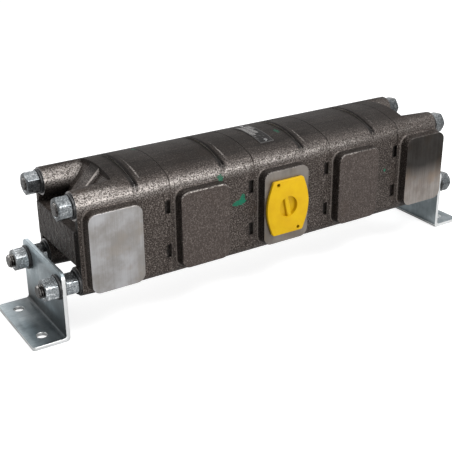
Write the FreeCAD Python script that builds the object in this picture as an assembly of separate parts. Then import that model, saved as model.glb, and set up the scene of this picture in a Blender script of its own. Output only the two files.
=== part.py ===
import FreeCAD, Part
import math
import os

from FreeCAD import Vector

# Millimetres. The divider lies along X, its port pads face -Y and Z is up.
# Castings are drawn about the centre of the four tie rods, with X = 0 at the inlet port,
# and every part is then set over the middle of the four foot holes.

# Body of castings
section_count = 4
section_pitch = 98.0
housing_length = 36.0
arch_radius = 120.0
top_corner_radius = 13.5
bottom_corner_radius = 11.5
joint_edge = 0.5
collar_length = 9.0
collar_rise = 1.4
collar_half_width = 36.0
collar_edge = 0.8

# Tie rods, the metal round them and their nuts
rod_radius = 7.0
rod_play = 0.5
rod_wall = 3.75
rod_side_cover = 12.5
rod_top_cover = 21.5
rod_bottom_cover = 16.5
rod_end_chamfer = 1.2
nut_across_flats = 21.0
tall_nut_height = 13.5
bracket_nut_height = 13.5
spacer_length = 13.5
hex_chamfer = 0.8
right_hex_turn = 25.0
thread_clearance = 0.05
washer_radius = 12.5
washer_play = 0.3
washer_thickness = 2.5
washer_edge = 0.4
top_rod_end = 1.5
bottom_rod_end = 5.0

# Port pads
pad_width = 56.0
pad_drop = 5.0
pad_rise = 11.2
pad_corner_radius = 9.0
pad_draft = 1.0
pad_foot_rounding = 3.0
cast_pad_rounding = 1.5
machined_pad_edge = 0.4
embed = 2.0
seam_tolerance = 0.0001

# Inlet port: one inch flange pattern
inlet_radius = 12.7
inlet_bolts_x = 26.2
inlet_bolts_z = 52.4
inlet_pad_cover_z = 14.3
inlet_bolt_radius = 4.25
inlet_bolt_depth = 15.0
inlet_bore_end = 17.0

# Outlet ports, one in the back of every gear housing
outlet_thread_radius = 10.48
outlet_thread_depth = 16.0
outlet_bore_radius = 8.5
outlet_boss_radius = 17.0
outlet_boss_rise = 2.5

# Gears
gear_teeth = 12
gear_module = 3.5
pressure_angle = 25.0
tip_shortening = 0.1
root_depth = 1.25
backlash = 0.25
gear_side_clearance = 0.05
chamber_clearance = 0.2
wear_plate_thickness = 3.0
wear_plate_clearance = 0.1
wear_plate_slack = 0.05

# Shafts and bearings
journal_radius = 11.0
journal_clearance = 0.03
bushing_wall = 2.0
bushing_length = 20.0
bore_relief = 2.0
drain_radius = 4.0
coupling_hex = 15.5
coupling_clearance = 0.1
sleeve_clearance = 0.5
sleeve_end_gap = 1.0
stub_gap = 1.0

# Inner passages
gallery_radius = 7.5
gallery_step = 0.5
gallery_wall = 2.5

# Section seals and dowels
seal_wall = 4.9
seal_width = 2.2
seal_depth = 1.6
seal_clearance = 0.1
dowel_radius = 4.0
dowel_length = 16.0
dowel_hole_extra = 0.5
dowel_side_cover = 8.5
dowel_drop = 18.0

# Slots for prising the castings apart, and the dressed band beside them
pry_slot_length = 4.0
pry_slot_height = 13.0
pry_slot_depth = 3.5
pry_slot_centres = (20.2, -27.0)
dressed_band_length = 11.0
dressed_band_depth = 0.6

# End covers
left_boss_length = 61.5
right_boss_length = 58.0
left_pad_offset = 28.0
right_pad_offset = 34.0
cover_wall = 18.0
cover_slope_drop = 24.0
boss_rim = 1.8
boss_flare = 3.0
side_wall_thickness = 6.0
overhang_clearance = 0.3
nose_side_inset = 1.5
nose_top = 16.0
nose_bottom = 20.0
left_nose_reach = 2.5
right_nose_reach = 6.5
nose_bevel = 4.0
nose_edge_rounding = 1.5
rib_half_width = 10.0
rib_step = 2.2
rib_edge_rounding = 2.0
pocket_depth = 6.0

# Foot brackets
bracket_thickness = 4.0
bracket_side_cover = 11.0
bracket_top_cover = 17.5
bracket_bend_radius = 3.0
bracket_corner_radius = 7.0
foot_corner_radius = 3.0
bracket_flange = 38.0
foot_to_rods = 55.0
foot_hole_radius = 5.5
foot_hole_spacing = 62.0
foot_hole_offset = 22.0

# Transport plug in the inlet
plug_flange_thickness = 3.5
plug_pin_cover_z = 4.1
plug_pin_cover_x = 5.9
plug_side_margin = 1.5
plug_side_half_height = 9.5
plug_edge_rounding = 0.8
plug_fit = 0.3
plug_depth = 14.0
plug_wall = 2.7
plug_floor = 2.0
plug_bar_width = 4.0
plug_pin_hole_radius = 1.7

# Nameplate
plate_length_x = 17.0
plate_length_y = 52.0
plate_thickness = 0.8
plate_centre_x = -3.5
plate_centre_y = -5.0
plate_screw_inset = 3.5
plate_screw_radius = 1.4
plate_screw_head_radius = 2.3
plate_screw_head = 0.9
plate_screw_length = 5.0

carrier_length = section_pitch - housing_length
carrier_right = pad_width / 2
gear_half = gear_teeth * gear_module / 2
tip_radius = gear_half + gear_module - tip_shortening
chamber_radius = tip_radius + chamber_clearance
seal_inner_radius = chamber_radius + seal_wall
seal_outer_radius = seal_inner_radius + seal_width
rod_hole_radius = rod_radius + rod_play
rod_reach = seal_outer_radius + rod_wall + rod_hole_radius
rod_half = (gear_half + math.sqrt(2 * rod_reach ** 2 - gear_half ** 2)) / 2
rod_places = [(y, z) for y in (-rod_half, rod_half) for z in (-rod_half, rod_half)]
body_half_width = rod_half + rod_side_cover
body_top = rod_half + rod_top_cover
body_bottom = rod_half + rod_bottom_cover
base_height = rod_half + foot_to_rods
washer_bore_radius = rod_radius + washer_play
boss_radius = washer_radius + boss_rim
chamber_slot_radius = gallery_radius + gallery_step
passage_y = seal_inner_radius - gallery_wall - chamber_slot_radius
dowel_y = body_half_width - dowel_side_cover
dowel_places = ((-dowel_y, 0), (dowel_y, -dowel_drop))
bushing_radius = journal_radius + bushing_wall
bearing_bore_depth = bushing_length + bore_relief
pad_face = body_half_width + pad_rise
pad_height = inlet_bolts_z + 2 * inlet_pad_cover_z
left_joint = carrier_right - 2 * section_pitch
right_joint = left_joint + (section_count - 1) * section_pitch + housing_length
left_boss_face = left_joint - left_boss_length
right_boss_face = right_joint + right_boss_length
stand_off = washer_thickness + spacer_length
left_bracket_face = left_boss_face - stand_off
right_bracket_face = right_boss_face + stand_off
frame_x = -(left_bracket_face - foot_hole_offset + right_bracket_face + foot_hole_offset) / 2
housing_starts = [left_joint + n * section_pitch for n in range(section_count)]
carrier_starts = [start + housing_length for start in housing_starts[:-1]]


def box(x0, x1, y0, y1, z0, z1):
    return Part.makeBox(x1 - x0, y1 - y0, z1 - z0, Vector(x0, y0, z0))


def rod_x(radius, x0, x1, y=0.0, z=0.0):
    return Part.makeCylinder(radius, x1 - x0, Vector(x0, y, z), Vector(1, 0, 0))


def rod_y(radius, y0, y1, x=0.0, z=0.0):
    return Part.makeCylinder(radius, y1 - y0, Vector(x, y0, z), Vector(0, 1, 0))


def tube_x(outer, inner, x0, x1, y=0.0, z=0.0):
    return rod_x(outer, x0, x1, y, z).cut(rod_x(inner, x0, x1, y, z))


def joined(shapes):
    first = shapes[0]
    if len(shapes) == 1:
        return first
    return first.multiFuse(shapes[1:]).removeSplitter()


def polygon_face(points):
    return Part.Face(Part.makePolygon(points + points[:1]))


def body_outline(x):
    """Outline of the castings: arched top, flat sides and bottom, rounded corners."""
    side = body_half_width
    radius = top_corner_radius
    corner_y = side - radius
    centre = body_top - arch_radius
    shoulder_z = centre + math.sqrt((arch_radius - radius) ** 2 - corner_y ** 2)
    slope = math.atan2(corner_y, shoulder_z - centre)
    lean = slope / 2 + math.pi / 4
    touch_y = corner_y + radius * math.sin(slope)
    touch_z = shoulder_z + radius * math.cos(slope)
    low = bottom_corner_radius
    low_y = side - low
    low_z = low - body_bottom
    half = math.sqrt(0.5)

    def point(y, z):
        return Vector(x, y, z)

    edges = [
        Part.Arc(point(-touch_y, touch_z), point(0, body_top), point(touch_y, touch_z)).toShape(),
        Part.Arc(point(touch_y, touch_z),
                 point(corner_y + radius * math.sin(lean), shoulder_z + radius * math.cos(lean)),
                 point(side, shoulder_z)).toShape(),
        Part.makeLine(point(side, shoulder_z), point(side, low_z)),
        Part.Arc(point(side, low_z), point(low_y + low * half, low_z - low * half),
                 point(low_y, -body_bottom)).toShape(),
        Part.makeLine(point(low_y, -body_bottom), point(-low_y, -body_bottom)),
        Part.Arc(point(-low_y, -body_bottom), point(-low_y - low * half, low_z - low * half),
                 point(-side, low_z)).toShape(),
        Part.makeLine(point(-side, low_z), point(-side, shoulder_z)),
        Part.Arc(point(-side, shoulder_z),
                 point(-corner_y - radius * math.sin(lean), shoulder_z + radius * math.cos(lean)),
                 point(-touch_y, touch_z)).toShape(),
    ]
    return Part.Wire(edges)


def body_block(x0, x1):
    return Part.Face(body_outline(x0)).extrude(Vector(x1 - x0, 0, 0))


def joint_block(x0, x1, joints):
    """Body block with the edges broken at its joint faces."""
    block = body_block(x0, x1)
    rims = []
    for joint in joints:
        rims += [e for e in block.Edges if abs(e.BoundBox.XMin - joint) < 0.01 and e.BoundBox.XLength < 0.01]
    return block.makeChamfer(joint_edge, rims)


def raised_collar(start):
    """Low band across the arch beside a joint, running out into the arch at its sides."""
    end = start + collar_length
    half = collar_half_width
    sagitta = collar_rise + arch_radius - math.sqrt(arch_radius ** 2 - half ** 2)
    radius = (sagitta ** 2 + half ** 2) / (2 * sagitta)
    drum = rod_x(radius, start, end, 0, body_top + collar_rise - radius)
    low = arch_height(half) - 2 * collar_rise
    strip = drum.common(box(start, end, -half, half, low, 2 * body_top)).Solids[0]
    rim = [e for e in strip.Edges if e.BoundBox.XMin > end - 0.01 and e.BoundBox.YLength > half / 2
           and e.BoundBox.ZMax > body_top]
    return strip.makeChamfer(collar_edge, rim)


def rounded_rectangle(x0, x1, z0, z1, y, radius):
    half = radius * (1 - math.sqrt(0.5))

    def point(x, z):
        return Vector(x, y, z)

    return Part.Wire([
        Part.makeLine(point(x0 + radius, z0), point(x1 - radius, z0)),
        Part.Arc(point(x1 - radius, z0), point(x1 - half, z0 + half), point(x1, z0 + radius)).toShape(),
        Part.makeLine(point(x1, z0 + radius), point(x1, z1 - radius)),
        Part.Arc(point(x1, z1 - radius), point(x1 - half, z1 - half), point(x1 - radius, z1)).toShape(),
        Part.makeLine(point(x1 - radius, z1), point(x0 + radius, z1)),
        Part.Arc(point(x0 + radius, z1), point(x0 + half, z1 - half), point(x0, z1 - radius)).toShape(),
        Part.makeLine(point(x0, z1 - radius), point(x0, z0 + radius)),
        Part.Arc(point(x0, z0 + radius), point(x0 + half, z0 + half), point(x0 + radius, z0)).toShape(),
    ])


def slab(x0, x1):
    """Everything of a casting between two places along X."""
    return box(x0, x1, -2 * pad_face, 2 * pad_face, -2 * body_bottom, 2 * body_top)


def port_pad(centre_x, edge):
    """Raised pad on the front, drafted towards its face."""
    x0 = centre_x - pad_width / 2
    x1 = centre_x + pad_width / 2
    z0 = -pad_drop - pad_height / 2
    z1 = -pad_drop + pad_height / 2
    spread = pad_draft * (pad_rise + embed) / pad_rise
    foot = rounded_rectangle(x0 - spread, x1 + spread, z0 - spread, z1 + spread,
                             embed - body_half_width, pad_corner_radius + spread)
    face = rounded_rectangle(x0, x1, z0, z1, -pad_face, pad_corner_radius)
    pad = Part.makeLoft([foot, face], True, True)
    rim = [e for e in pad.Edges if e.BoundBox.YMax < embed - pad_face]
    return pad.makeFillet(edge, rim)


def with_pad(block, pad):
    """Joins a pad to the front of a casting with a rounded foot."""
    solid = joined([block, pad])
    foot = []
    for edge in solid.Edges:
        middle = edge.valueAt((edge.FirstParameter + edge.LastParameter) / 2)
        if middle.y > pad_foot_rounding - body_half_width:
            continue
        spot = Part.Vertex(middle)
        if max(spot.distToShape(part.Shells[0])[0] for part in (block, pad)) < seam_tolerance:
            foot.append(edge)
    return solid.makeFillet(pad_foot_rounding, foot)


def dowel_holes(x0, x1):
    return [rod_x(dowel_radius, x0, x1, y, z) for y, z in dowel_places]


def rod_holes(x0, x1):
    return [rod_x(rod_hole_radius, x0 - 1, x1 + 1, y, z) for y, z in rod_places]


def seal_track(radius, x0, x1):
    ends = [rod_x(radius, x0, x1, 0, z) for z in (-gear_half, gear_half)]
    middle = box(x0, x1, -radius, radius, -gear_half, gear_half)
    return joined(ends + [middle])


def chamber_passage(side, x0, x1):
    radius = chamber_slot_radius
    inner = box(x0, x1, min(0, side * passage_y), max(0, side * passage_y), -radius, radius)
    return joined([rod_x(radius, x0, x1, side * passage_y), inner])


def gear_housing(start):
    end = start + housing_length
    middle = (start + end) / 2
    dowel_depth = dowel_length / 2 + dowel_hole_extra
    block = joint_block(start, end, (start, end))
    collar = raised_collar(start)
    boss_end = body_half_width + outlet_boss_rise
    boss = rod_y(outlet_boss_radius, body_half_width - embed, boss_end, middle)
    solid = joined([block, collar, boss])
    cuts = rod_holes(start, end)
    cuts += [rod_x(chamber_radius, start - 1, end + 1, 0, z) for z in (-gear_half, gear_half)]
    cuts += [chamber_passage(-1, start - 1, end + 1), chamber_passage(1, start - 1, end + 1)]
    cuts += dowel_holes(start - 1, start + dowel_depth) + dowel_holes(end - dowel_depth, end + 1)
    for x0, x1 in ((start - 1, start + seal_depth), (end - seal_depth, end + 1)):
        cuts.append(seal_track(seal_outer_radius, x0, x1).cut(seal_track(seal_inner_radius, x0, x1)))
    cuts.append(rod_y(outlet_thread_radius, boss_end - outlet_thread_depth, boss_end + 1, middle))
    cuts.append(rod_y(outlet_bore_radius, passage_y, boss_end, middle))
    band = end - dressed_band_length
    tall = 2 * body_top
    cuts.append(box(band, end + 1, -body_half_width - 1, dressed_band_depth - body_half_width, -tall, tall))
    for centre in pry_slot_centres:
        low = centre - pry_slot_height / 2
        high = centre + pry_slot_height / 2
        for y0 in (-body_half_width - 1, body_half_width - pry_slot_depth):
            cuts.append(box(end - pry_slot_length, end + 1, y0, y0 + pry_slot_depth + 1, low, high))
    return solid.cut(cuts)


def bearing_carrier(start, pad_edge):
    end = start + carrier_length
    dowel_depth = dowel_length / 2 + dowel_hole_extra
    centre = end - carrier_right
    pad = port_pad(centre, pad_edge).common(slab(start, end))
    solid = with_pad(joint_block(start, end, (start,)), pad)
    cuts = rod_holes(start, end)
    cuts += dowel_holes(start - 1, start + dowel_depth) + dowel_holes(end - dowel_depth, end + 1)
    cuts.append(rod_x(bushing_radius, start - 1, end + 1, 0, gear_half))
    cuts.append(rod_x(bushing_radius, start - 1, start + bearing_bore_depth, 0, -gear_half))
    cuts.append(rod_x(bushing_radius, end - bearing_bore_depth, end + 1, 0, -gear_half))
    cuts.append(rod_x(drain_radius, start, end, 0, -gear_half))
    cuts.append(rod_x(gallery_radius, start - 1, end + 1, -passage_y))
    return solid.cut(cuts)


def inlet_carrier(start):
    solid = bearing_carrier(start, machined_pad_edge)
    cuts = [rod_y(inlet_radius, -pad_face - 1, -inlet_bore_end, 0, -pad_drop)]
    for x in (-inlet_bolts_x / 2, inlet_bolts_x / 2):
        for z in (-inlet_bolts_z / 2, inlet_bolts_z / 2):
            bottom = inlet_bolt_depth - pad_face
            cuts.append(rod_y(inlet_bolt_radius, -pad_face - 1, bottom, x, z - pad_drop))
    return solid.cut(cuts)


def end_profile(surface, step, depth, nose):
    """Outline in XZ of a 45 degree slope that starts below the surface, down to the nose band."""
    sign = math.copysign(1, surface)
    start = cover_wall - embed
    top = surface - sign * step
    low = top - sign * depth
    reach = cover_wall + depth
    return polygon_face([
        Vector(start, 0, nose),
        Vector(start, 0, top),
        Vector(cover_wall, 0, top),
        Vector(reach, 0, low),
        Vector(reach, 0, nose),
    ])


def end_rib(surface, nose):
    """Rib down the middle of a slope, with both of its edges rounded."""
    face = end_profile(surface, rib_step, cover_slope_drop, nose)
    face.translate(Vector(0, -rib_half_width, 0))
    rib = face.extrude(Vector(0, 2 * rib_half_width, 0))
    edges = [e for e in rib.Edges
             if e.BoundBox.YLength < 0.01 and e.BoundBox.XLength > embed + 1 and e.BoundBox.ZLength > 1]
    return rib.makeFillet(rib_edge_rounding, edges)


def end_web(surface, nose):
    """Sloping floor between a rib and the bosses."""
    face = end_profile(surface, rib_step + pocket_depth, cover_slope_drop - pocket_depth, nose)
    face.translate(Vector(0, -body_half_width, 0))
    return face.extrude(Vector(0, 2 * body_half_width, 0))


def end_spaces(length):
    """What is open round the bosses behind a cover's wall, above and below its nose band."""
    inner = body_half_width - side_wall_thickness
    kept = [Part.makeCone(boss_radius + boss_flare, boss_radius, length, Vector(0, y, z), Vector(1, 0, 0))
            for y, z in rod_places]
    for y in (-body_half_width - 1, inner):
        kept.append(box(0, length + 1, y, y + side_wall_thickness + 1, -rod_half, rod_half))
    spaces = []
    for surface, nose in ((body_top, nose_top), (-body_bottom, -nose_bottom)):
        far = 2 * surface
        space = box(cover_wall, length + 1, -body_half_width - 1, body_half_width + 1,
                    min(nose, far), max(nose, far))
        spaces.append(space.cut(kept + [end_rib(surface, nose), end_web(surface, nose)]))
    return spaces


def nose_band(end):
    half = body_half_width - nose_side_inset
    band = box(0, end, -half, half, -nose_bottom, nose_top)
    upright = [e for e in band.Edges
               if e.BoundBox.XMin > end - 1 and e.BoundBox.ZLength > nose_top]
    band = band.makeChamfer(nose_bevel, upright)
    rim = [e for e in band.Edges if e.BoundBox.XMin > end - 0.01]
    return band.makeFillet(nose_edge_rounding, rim)


def end_cover(boss_length, pad_offset, nose_reach):
    """Cover drawn with its joint face at X = 0 and its bosses towards +X."""
    pad_end = pad_offset + pad_width
    solid = with_pad(body_block(-pad_width, pad_end), port_pad(pad_offset, machined_pad_edge))
    solid = solid.common(slab(0, pad_end))
    # Where the pad overhangs the bosses it stays clear of the washers and nuts.
    solid = solid.cut(box(boss_length, pad_end + 1, -body_half_width - overhang_clearance,
                          body_half_width + 1, -2 * body_bottom, 2 * body_top))
    solid = joined([solid.cut(end_spaces(boss_length)), nose_band(boss_length + nose_reach)])
    cuts = rod_holes(0, boss_length)
    cuts += dowel_holes(-1, dowel_length / 2 + dowel_hole_extra)
    for z in (-gear_half, gear_half):
        cuts.append(rod_x(bushing_radius, -1, bearing_bore_depth, 0, z))
    return solid.cut(cuts)


def left_end_cover():
    cover = end_cover(left_boss_length, left_pad_offset, left_nose_reach)
    cover = cover.mirror(Vector(0, 0, 0), Vector(1, 0, 0))
    cover.translate(Vector(left_joint, 0, 0))
    return cover


def right_end_cover():
    cover = end_cover(right_boss_length, right_pad_offset, right_nose_reach)
    cover.translate(Vector(right_joint, 0, 0))
    return cover


def involute(angle):
    return math.tan(angle) - angle


def tooth_half_angle(radius):
    """Half of the angle that a tooth takes at this radius."""
    base = gear_half * math.cos(math.radians(pressure_angle))
    thickness = math.pi * gear_module / 2 - backlash / 2
    start = thickness / (2 * gear_half) + involute(math.radians(pressure_angle))
    if radius <= base:
        return start
    return start - involute(math.acos(base / radius))


def gear_blank(x0, x1, centre_z, first_angle):
    base = gear_half * math.cos(math.radians(pressure_angle))
    root = gear_half - root_depth * gear_module
    middle = (base + tip_radius) / 2

    def point(radius, angle):
        return Vector(x0, radius * math.cos(angle), centre_z + radius * math.sin(angle))

    edges = []
    step = 2 * math.pi / gear_teeth
    for tooth in range(gear_teeth):
        axis = first_angle + tooth * step
        wide = tooth_half_angle(base)
        narrow = tooth_half_angle(tip_radius)
        waist = tooth_half_angle(middle)
        edges.append(Part.makeLine(point(root, axis - wide), point(base, axis - wide)))
        edges.append(Part.Arc(point(base, axis - wide), point(middle, axis - waist),
                              point(tip_radius, axis - narrow)).toShape())
        edges.append(Part.Arc(point(tip_radius, axis - narrow), point(tip_radius, axis),
                              point(tip_radius, axis + narrow)).toShape())
        edges.append(Part.Arc(point(tip_radius, axis + narrow), point(middle, axis + waist),
                              point(base, axis + wide)).toShape())
        edges.append(Part.makeLine(point(base, axis + wide), point(root, axis + wide)))
        edges.append(Part.Arc(point(root, axis + wide), point(root, axis + step / 2),
                              point(root, axis + step - wide)).toShape())
    return Part.Face(Part.Wire(edges)).extrude(Vector(x1 - x0, 0, 0))


def hex_prism(across_flats, x0, x1, y=0.0, z=0.0):
    radius = across_flats / math.sqrt(3)
    points = []
    for n in range(6):
        angle = n * math.pi / 3
        points.append(Vector(x0, y + radius * math.sin(angle), z + radius * math.cos(angle)))
    return polygon_face(points).extrude(Vector(x1 - x0, 0, 0))


def shaft_end(gear_x, side, centre_z, stub):
    """Journal from the gear's face outwards, with a hexagonal stub where a coupling follows."""
    reach = gear_side_clearance + wear_plate_thickness + bushing_length
    end = gear_x + side * reach
    pieces = [rod_x(journal_radius, min(gear_x, end), max(gear_x, end), 0, centre_z)]
    if stub:
        gap = carrier_length - 2 * bushing_length
        tip = end + side * (gap - stub_gap) / 2
        pieces.append(hex_prism(coupling_hex, min(end, tip), max(end, tip), 0, centre_z))
    return pieces


def gear_faces(start):
    inset = wear_plate_thickness + gear_side_clearance
    return start + inset, start + housing_length - inset


def drive_gear(number):
    x0, x1 = gear_faces(housing_starts[number])
    pieces = [gear_blank(x0, x1, gear_half, -math.pi / 2)]
    pieces += shaft_end(x0, -1, gear_half, number > 0)
    pieces += shaft_end(x1, 1, gear_half, number < section_count - 1)
    return joined(pieces)


def driven_gear(number):
    x0, x1 = gear_faces(housing_starts[number])
    first = math.pi / 2 + math.pi / gear_teeth
    pieces = [gear_blank(x0, x1, -gear_half, first)]
    pieces += shaft_end(x0, -1, -gear_half, False)
    pieces += shaft_end(x1, 1, -gear_half, False)
    return joined(pieces)


def coupling_sleeve(start):
    x0 = start + bushing_length + sleeve_end_gap
    x1 = start + carrier_length - bushing_length - sleeve_end_gap
    sleeve = rod_x(bushing_radius - sleeve_clearance, x0, x1, 0, gear_half)
    return sleeve.cut(hex_prism(coupling_hex + coupling_clearance, x0 - 1, x1 + 1, 0, gear_half))


def bushing_set(start):
    inner = journal_radius + journal_clearance
    end = start + housing_length
    tubes = []
    for z in (-gear_half, gear_half):
        tubes.append(tube_x(bushing_radius, inner, start - bushing_length, start, 0, z))
        tubes.append(tube_x(bushing_radius, inner, end, end + bushing_length, 0, z))
    return Part.makeCompound(tubes)


def wear_plate_pair(start):
    radius = chamber_radius - wear_plate_clearance
    thickness = wear_plate_thickness - wear_plate_slack
    end = start + housing_length
    hole = journal_radius + wear_plate_clearance
    plates = []
    for x0, x1 in ((start, start + thickness), (end - thickness, end)):
        plate = joined([rod_x(radius, x0, x1, 0, z) for z in (-gear_half, gear_half)])
        plates.append(plate.cut([rod_x(hole, x0 - 1, x1 + 1, 0, z) for z in (-gear_half, gear_half)]))
    return Part.makeCompound(plates)


def section_seals():
    inner = seal_inner_radius + seal_clearance
    outer = seal_outer_radius - seal_clearance
    rings = []
    for start in housing_starts:
        end = start + housing_length
        for x0, x1 in ((start, start + seal_depth), (end - seal_depth, end)):
            rings.append(seal_track(outer, x0, x1).cut(seal_track(inner, x0, x1)))
    return Part.makeCompound(rings)


def dowel_pins():
    pins = []
    for start in housing_starts:
        for face in (start, start + housing_length):
            for y, z in dowel_places:
                pins.append(rod_x(dowel_radius, face - dowel_length / 2, face + dowel_length / 2, y, z))
    return Part.makeCompound(pins)


def hex_piece(x0, x1, y, z):
    prism = hex_prism(nut_across_flats, x0, x1, y, z)
    limit = rod_x(nut_across_flats / math.sqrt(3), x0, x1, y, z)
    rims = [e for e in limit.Edges if e.BoundBox.XLength < 0.01]
    limit = limit.makeChamfer(hex_chamfer, rims)
    bore = rod_x(rod_radius + thread_clearance, x0 - 1, x1 + 1, y, z)
    piece = prism.common(limit).cut(bore)
    if x0 > 0:
        piece.rotate(Vector(x0, y, z), Vector(1, 0, 0), right_hex_turn)
    return piece


def tie_rods(z, left_end, right_end):
    rods = []
    for y in (-rod_half, rod_half):
        rod = rod_x(rod_radius, left_end, right_end, y, z)
        rims = [e for e in rod.Edges if e.BoundBox.XLength < 0.01]
        rods.append(rod.makeChamfer(rod_end_chamfer, rims))
    return Part.makeCompound(rods)


def stack(z, offset, length, maker):
    """The same piece on both rods of one height at both ends, from its offset outwards."""
    pieces = []
    for y in (-rod_half, rod_half):
        left = left_boss_face - offset
        right = right_boss_face + offset
        pieces.append(maker(left - length, left, y, z))
        pieces.append(maker(right, right + length, y, z))
    return pieces


def washer(x0, x1, y, z):
    ring = tube_x(washer_radius, washer_bore_radius, x0, x1, y, z)
    rims = [e for e in ring.Edges
            if e.BoundBox.XLength < 0.01 and e.BoundBox.YLength > 2 * washer_radius - 1]
    return ring.makeChamfer(washer_edge, rims)


def cover_washers():
    upper = stack(rod_half, 0, washer_thickness, washer)
    lower = stack(-rod_half, 0, washer_thickness, washer)
    return Part.makeCompound(upper + lower)


def tall_nuts():
    return Part.makeCompound(stack(rod_half, washer_thickness, tall_nut_height, hex_piece))


def hex_spacers():
    return Part.makeCompound(stack(-rod_half, washer_thickness, spacer_length, hex_piece))


def bracket_washers():
    offset = stand_off + bracket_thickness
    return Part.makeCompound(stack(-rod_half, offset, washer_thickness, washer))


def bracket_nuts():
    offset = stand_off + bracket_thickness + washer_thickness
    return Part.makeCompound(stack(-rod_half, offset, bracket_nut_height, hex_piece))


def top_tie_rods():
    reach = washer_thickness + tall_nut_height + top_rod_end
    return tie_rods(rod_half, left_boss_face - reach, right_boss_face + reach)


def bottom_tie_rods():
    reach = stand_off + bracket_thickness + washer_thickness + bracket_nut_height + bottom_rod_end
    return tie_rods(-rod_half, left_boss_face - reach, right_boss_face + reach)


def bracket(face, side):
    """Angle bracket: its plate stands against the spacers, its foot points outwards."""
    inner = bracket_bend_radius
    outer = inner + bracket_thickness
    half = math.sqrt(0.5)
    low = -base_height
    floor = low + bracket_thickness
    top = bracket_top_cover - rod_half
    width = 2 * (rod_half + bracket_side_cover)

    def point(reach, z):
        return Vector(face + side * reach, -width / 2, z)

    thick = bracket_thickness
    edges = [
        Part.makeLine(point(0, low + outer), point(0, top)),
        Part.makeLine(point(0, top), point(thick, top)),
        Part.makeLine(point(thick, top), point(thick, floor + inner)),
        Part.Arc(point(thick, floor + inner),
                 point(outer - inner * half, floor + inner - inner * half),
                 point(outer, floor)).toShape(),
        Part.makeLine(point(outer, floor), point(bracket_flange, floor)),
        Part.makeLine(point(bracket_flange, floor), point(bracket_flange, low)),
        Part.makeLine(point(bracket_flange, low), point(outer, low)),
        Part.Arc(point(outer, low), point(outer - outer * half, low + outer - outer * half),
                 point(0, low + outer)).toShape(),
    ]
    solid = Part.Face(Part.Wire(edges)).extrude(Vector(0, width, 0))
    top_corners = [e for e in solid.Edges if e.BoundBox.ZMin > top - 0.01 and e.BoundBox.YLength < 0.01]
    solid = solid.makeFillet(bracket_corner_radius, top_corners)
    foot_corners = [e for e in solid.Edges if e.BoundBox.ZMax < floor + 0.01 and e.BoundBox.XLength < 0.01
                    and e.BoundBox.YLength < 0.01]
    solid = solid.makeFillet(foot_corner_radius, foot_corners)
    x0, x1 = sorted((face - side, face + side * (thick + 1)))
    cuts = [rod_x(rod_hole_radius, x0, x1, y, -rod_half) for y in (-rod_half, rod_half)]
    hole_x = face + side * foot_hole_offset
    for y in (-foot_hole_spacing / 2, foot_hole_spacing / 2):
        cuts.append(Part.makeCylinder(foot_hole_radius, thick + 2, Vector(hole_x, y, low - 1)))
    return solid.cut(cuts)


def left_bracket():
    return bracket(left_bracket_face, -1)


def right_bracket():
    return bracket(right_bracket_face, 1)


def inlet_plug():
    """Transport plug: a flat flange with bulged sides and a hollow spigot with a grip bar."""
    half_height = inlet_bolts_z / 2 + plug_pin_cover_z
    end_half = inlet_bolts_x / 2 + plug_pin_cover_x
    half_width = pad_width / 2 - plug_side_margin
    outline = [
        (-end_half, half_height),
        (-half_width, plug_side_half_height),
        (-half_width, -plug_side_half_height),
        (-end_half, -half_height),
        (end_half, -half_height),
        (half_width, -plug_side_half_height),
        (half_width, plug_side_half_height),
        (end_half, half_height),
    ]
    points = [Vector(x, -pad_face, z - pad_drop) for x, z in outline]
    flange = polygon_face(points).extrude(Vector(0, -plug_flange_thickness, 0))
    front = -pad_face - plug_flange_thickness
    rim = [e for e in flange.Edges if e.BoundBox.YMax < front + 0.01]
    flange = flange.makeFillet(plug_edge_rounding, rim)
    radius = inlet_radius - plug_fit
    spigot = rod_y(radius, front + embed, plug_depth - pad_face, 0, -pad_drop)
    solid = joined([flange, spigot])
    inner = radius - plug_wall
    well_end = plug_depth - plug_floor - pad_face
    well = rod_y(inner, front - 1, well_end, 0, -pad_drop)
    bar = box(-plug_bar_width / 2, plug_bar_width / 2, front + 1, well_end + 1,
              -pad_drop - 2 * inner, 2 * inner - pad_drop)
    solid = solid.cut(well.cut(bar))
    pins = []
    for side in (-1, 1):
        pins.append(rod_y(plug_pin_hole_radius, front - 1, -pad_face + 1,
                          side * inlet_bolts_x / 2, -side * inlet_bolts_z / 2 - pad_drop))
    return solid.cut(pins)


def arch_height(y):
    return body_top - arch_radius + math.sqrt(arch_radius ** 2 - y ** 2)


def nameplate_frame():
    x0 = plate_centre_x - plate_length_x / 2
    x1 = plate_centre_x + plate_length_x / 2
    y0 = plate_centre_y - plate_length_y / 2
    y1 = plate_centre_y + plate_length_y / 2
    return x0, x1, y0, y1


def screw_places():
    x0, x1, y0, y1 = nameplate_frame()
    middle = (x0 + x1) / 2
    return [(middle, y0 + plate_screw_inset), (middle, y1 - plate_screw_inset)]


def nameplate():
    x0, x1, y0, y1 = nameplate_frame()
    centre = body_top - arch_radius
    shell = tube_x(arch_radius + plate_thickness, arch_radius, x0, x1, 0, centre)
    plate = shell.common(box(x0, x1, y0, y1, 0, 2 * body_top))
    return plate.cut([screw_hole(x, y, plate_thickness + 1) for x, y in screw_places()])


def screw_axis(x, y):
    """Foot point on the arch and outward direction there."""
    direction = Vector(0, y, arch_height(y) - body_top + arch_radius)
    direction.normalize()
    return Vector(x, y, arch_height(y)), direction


def screw_hole(x, y, rise):
    foot, direction = screw_axis(x, y)
    start = foot - direction * plate_screw_length
    return Part.makeCylinder(plate_screw_radius, plate_screw_length + rise, start, direction)


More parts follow.
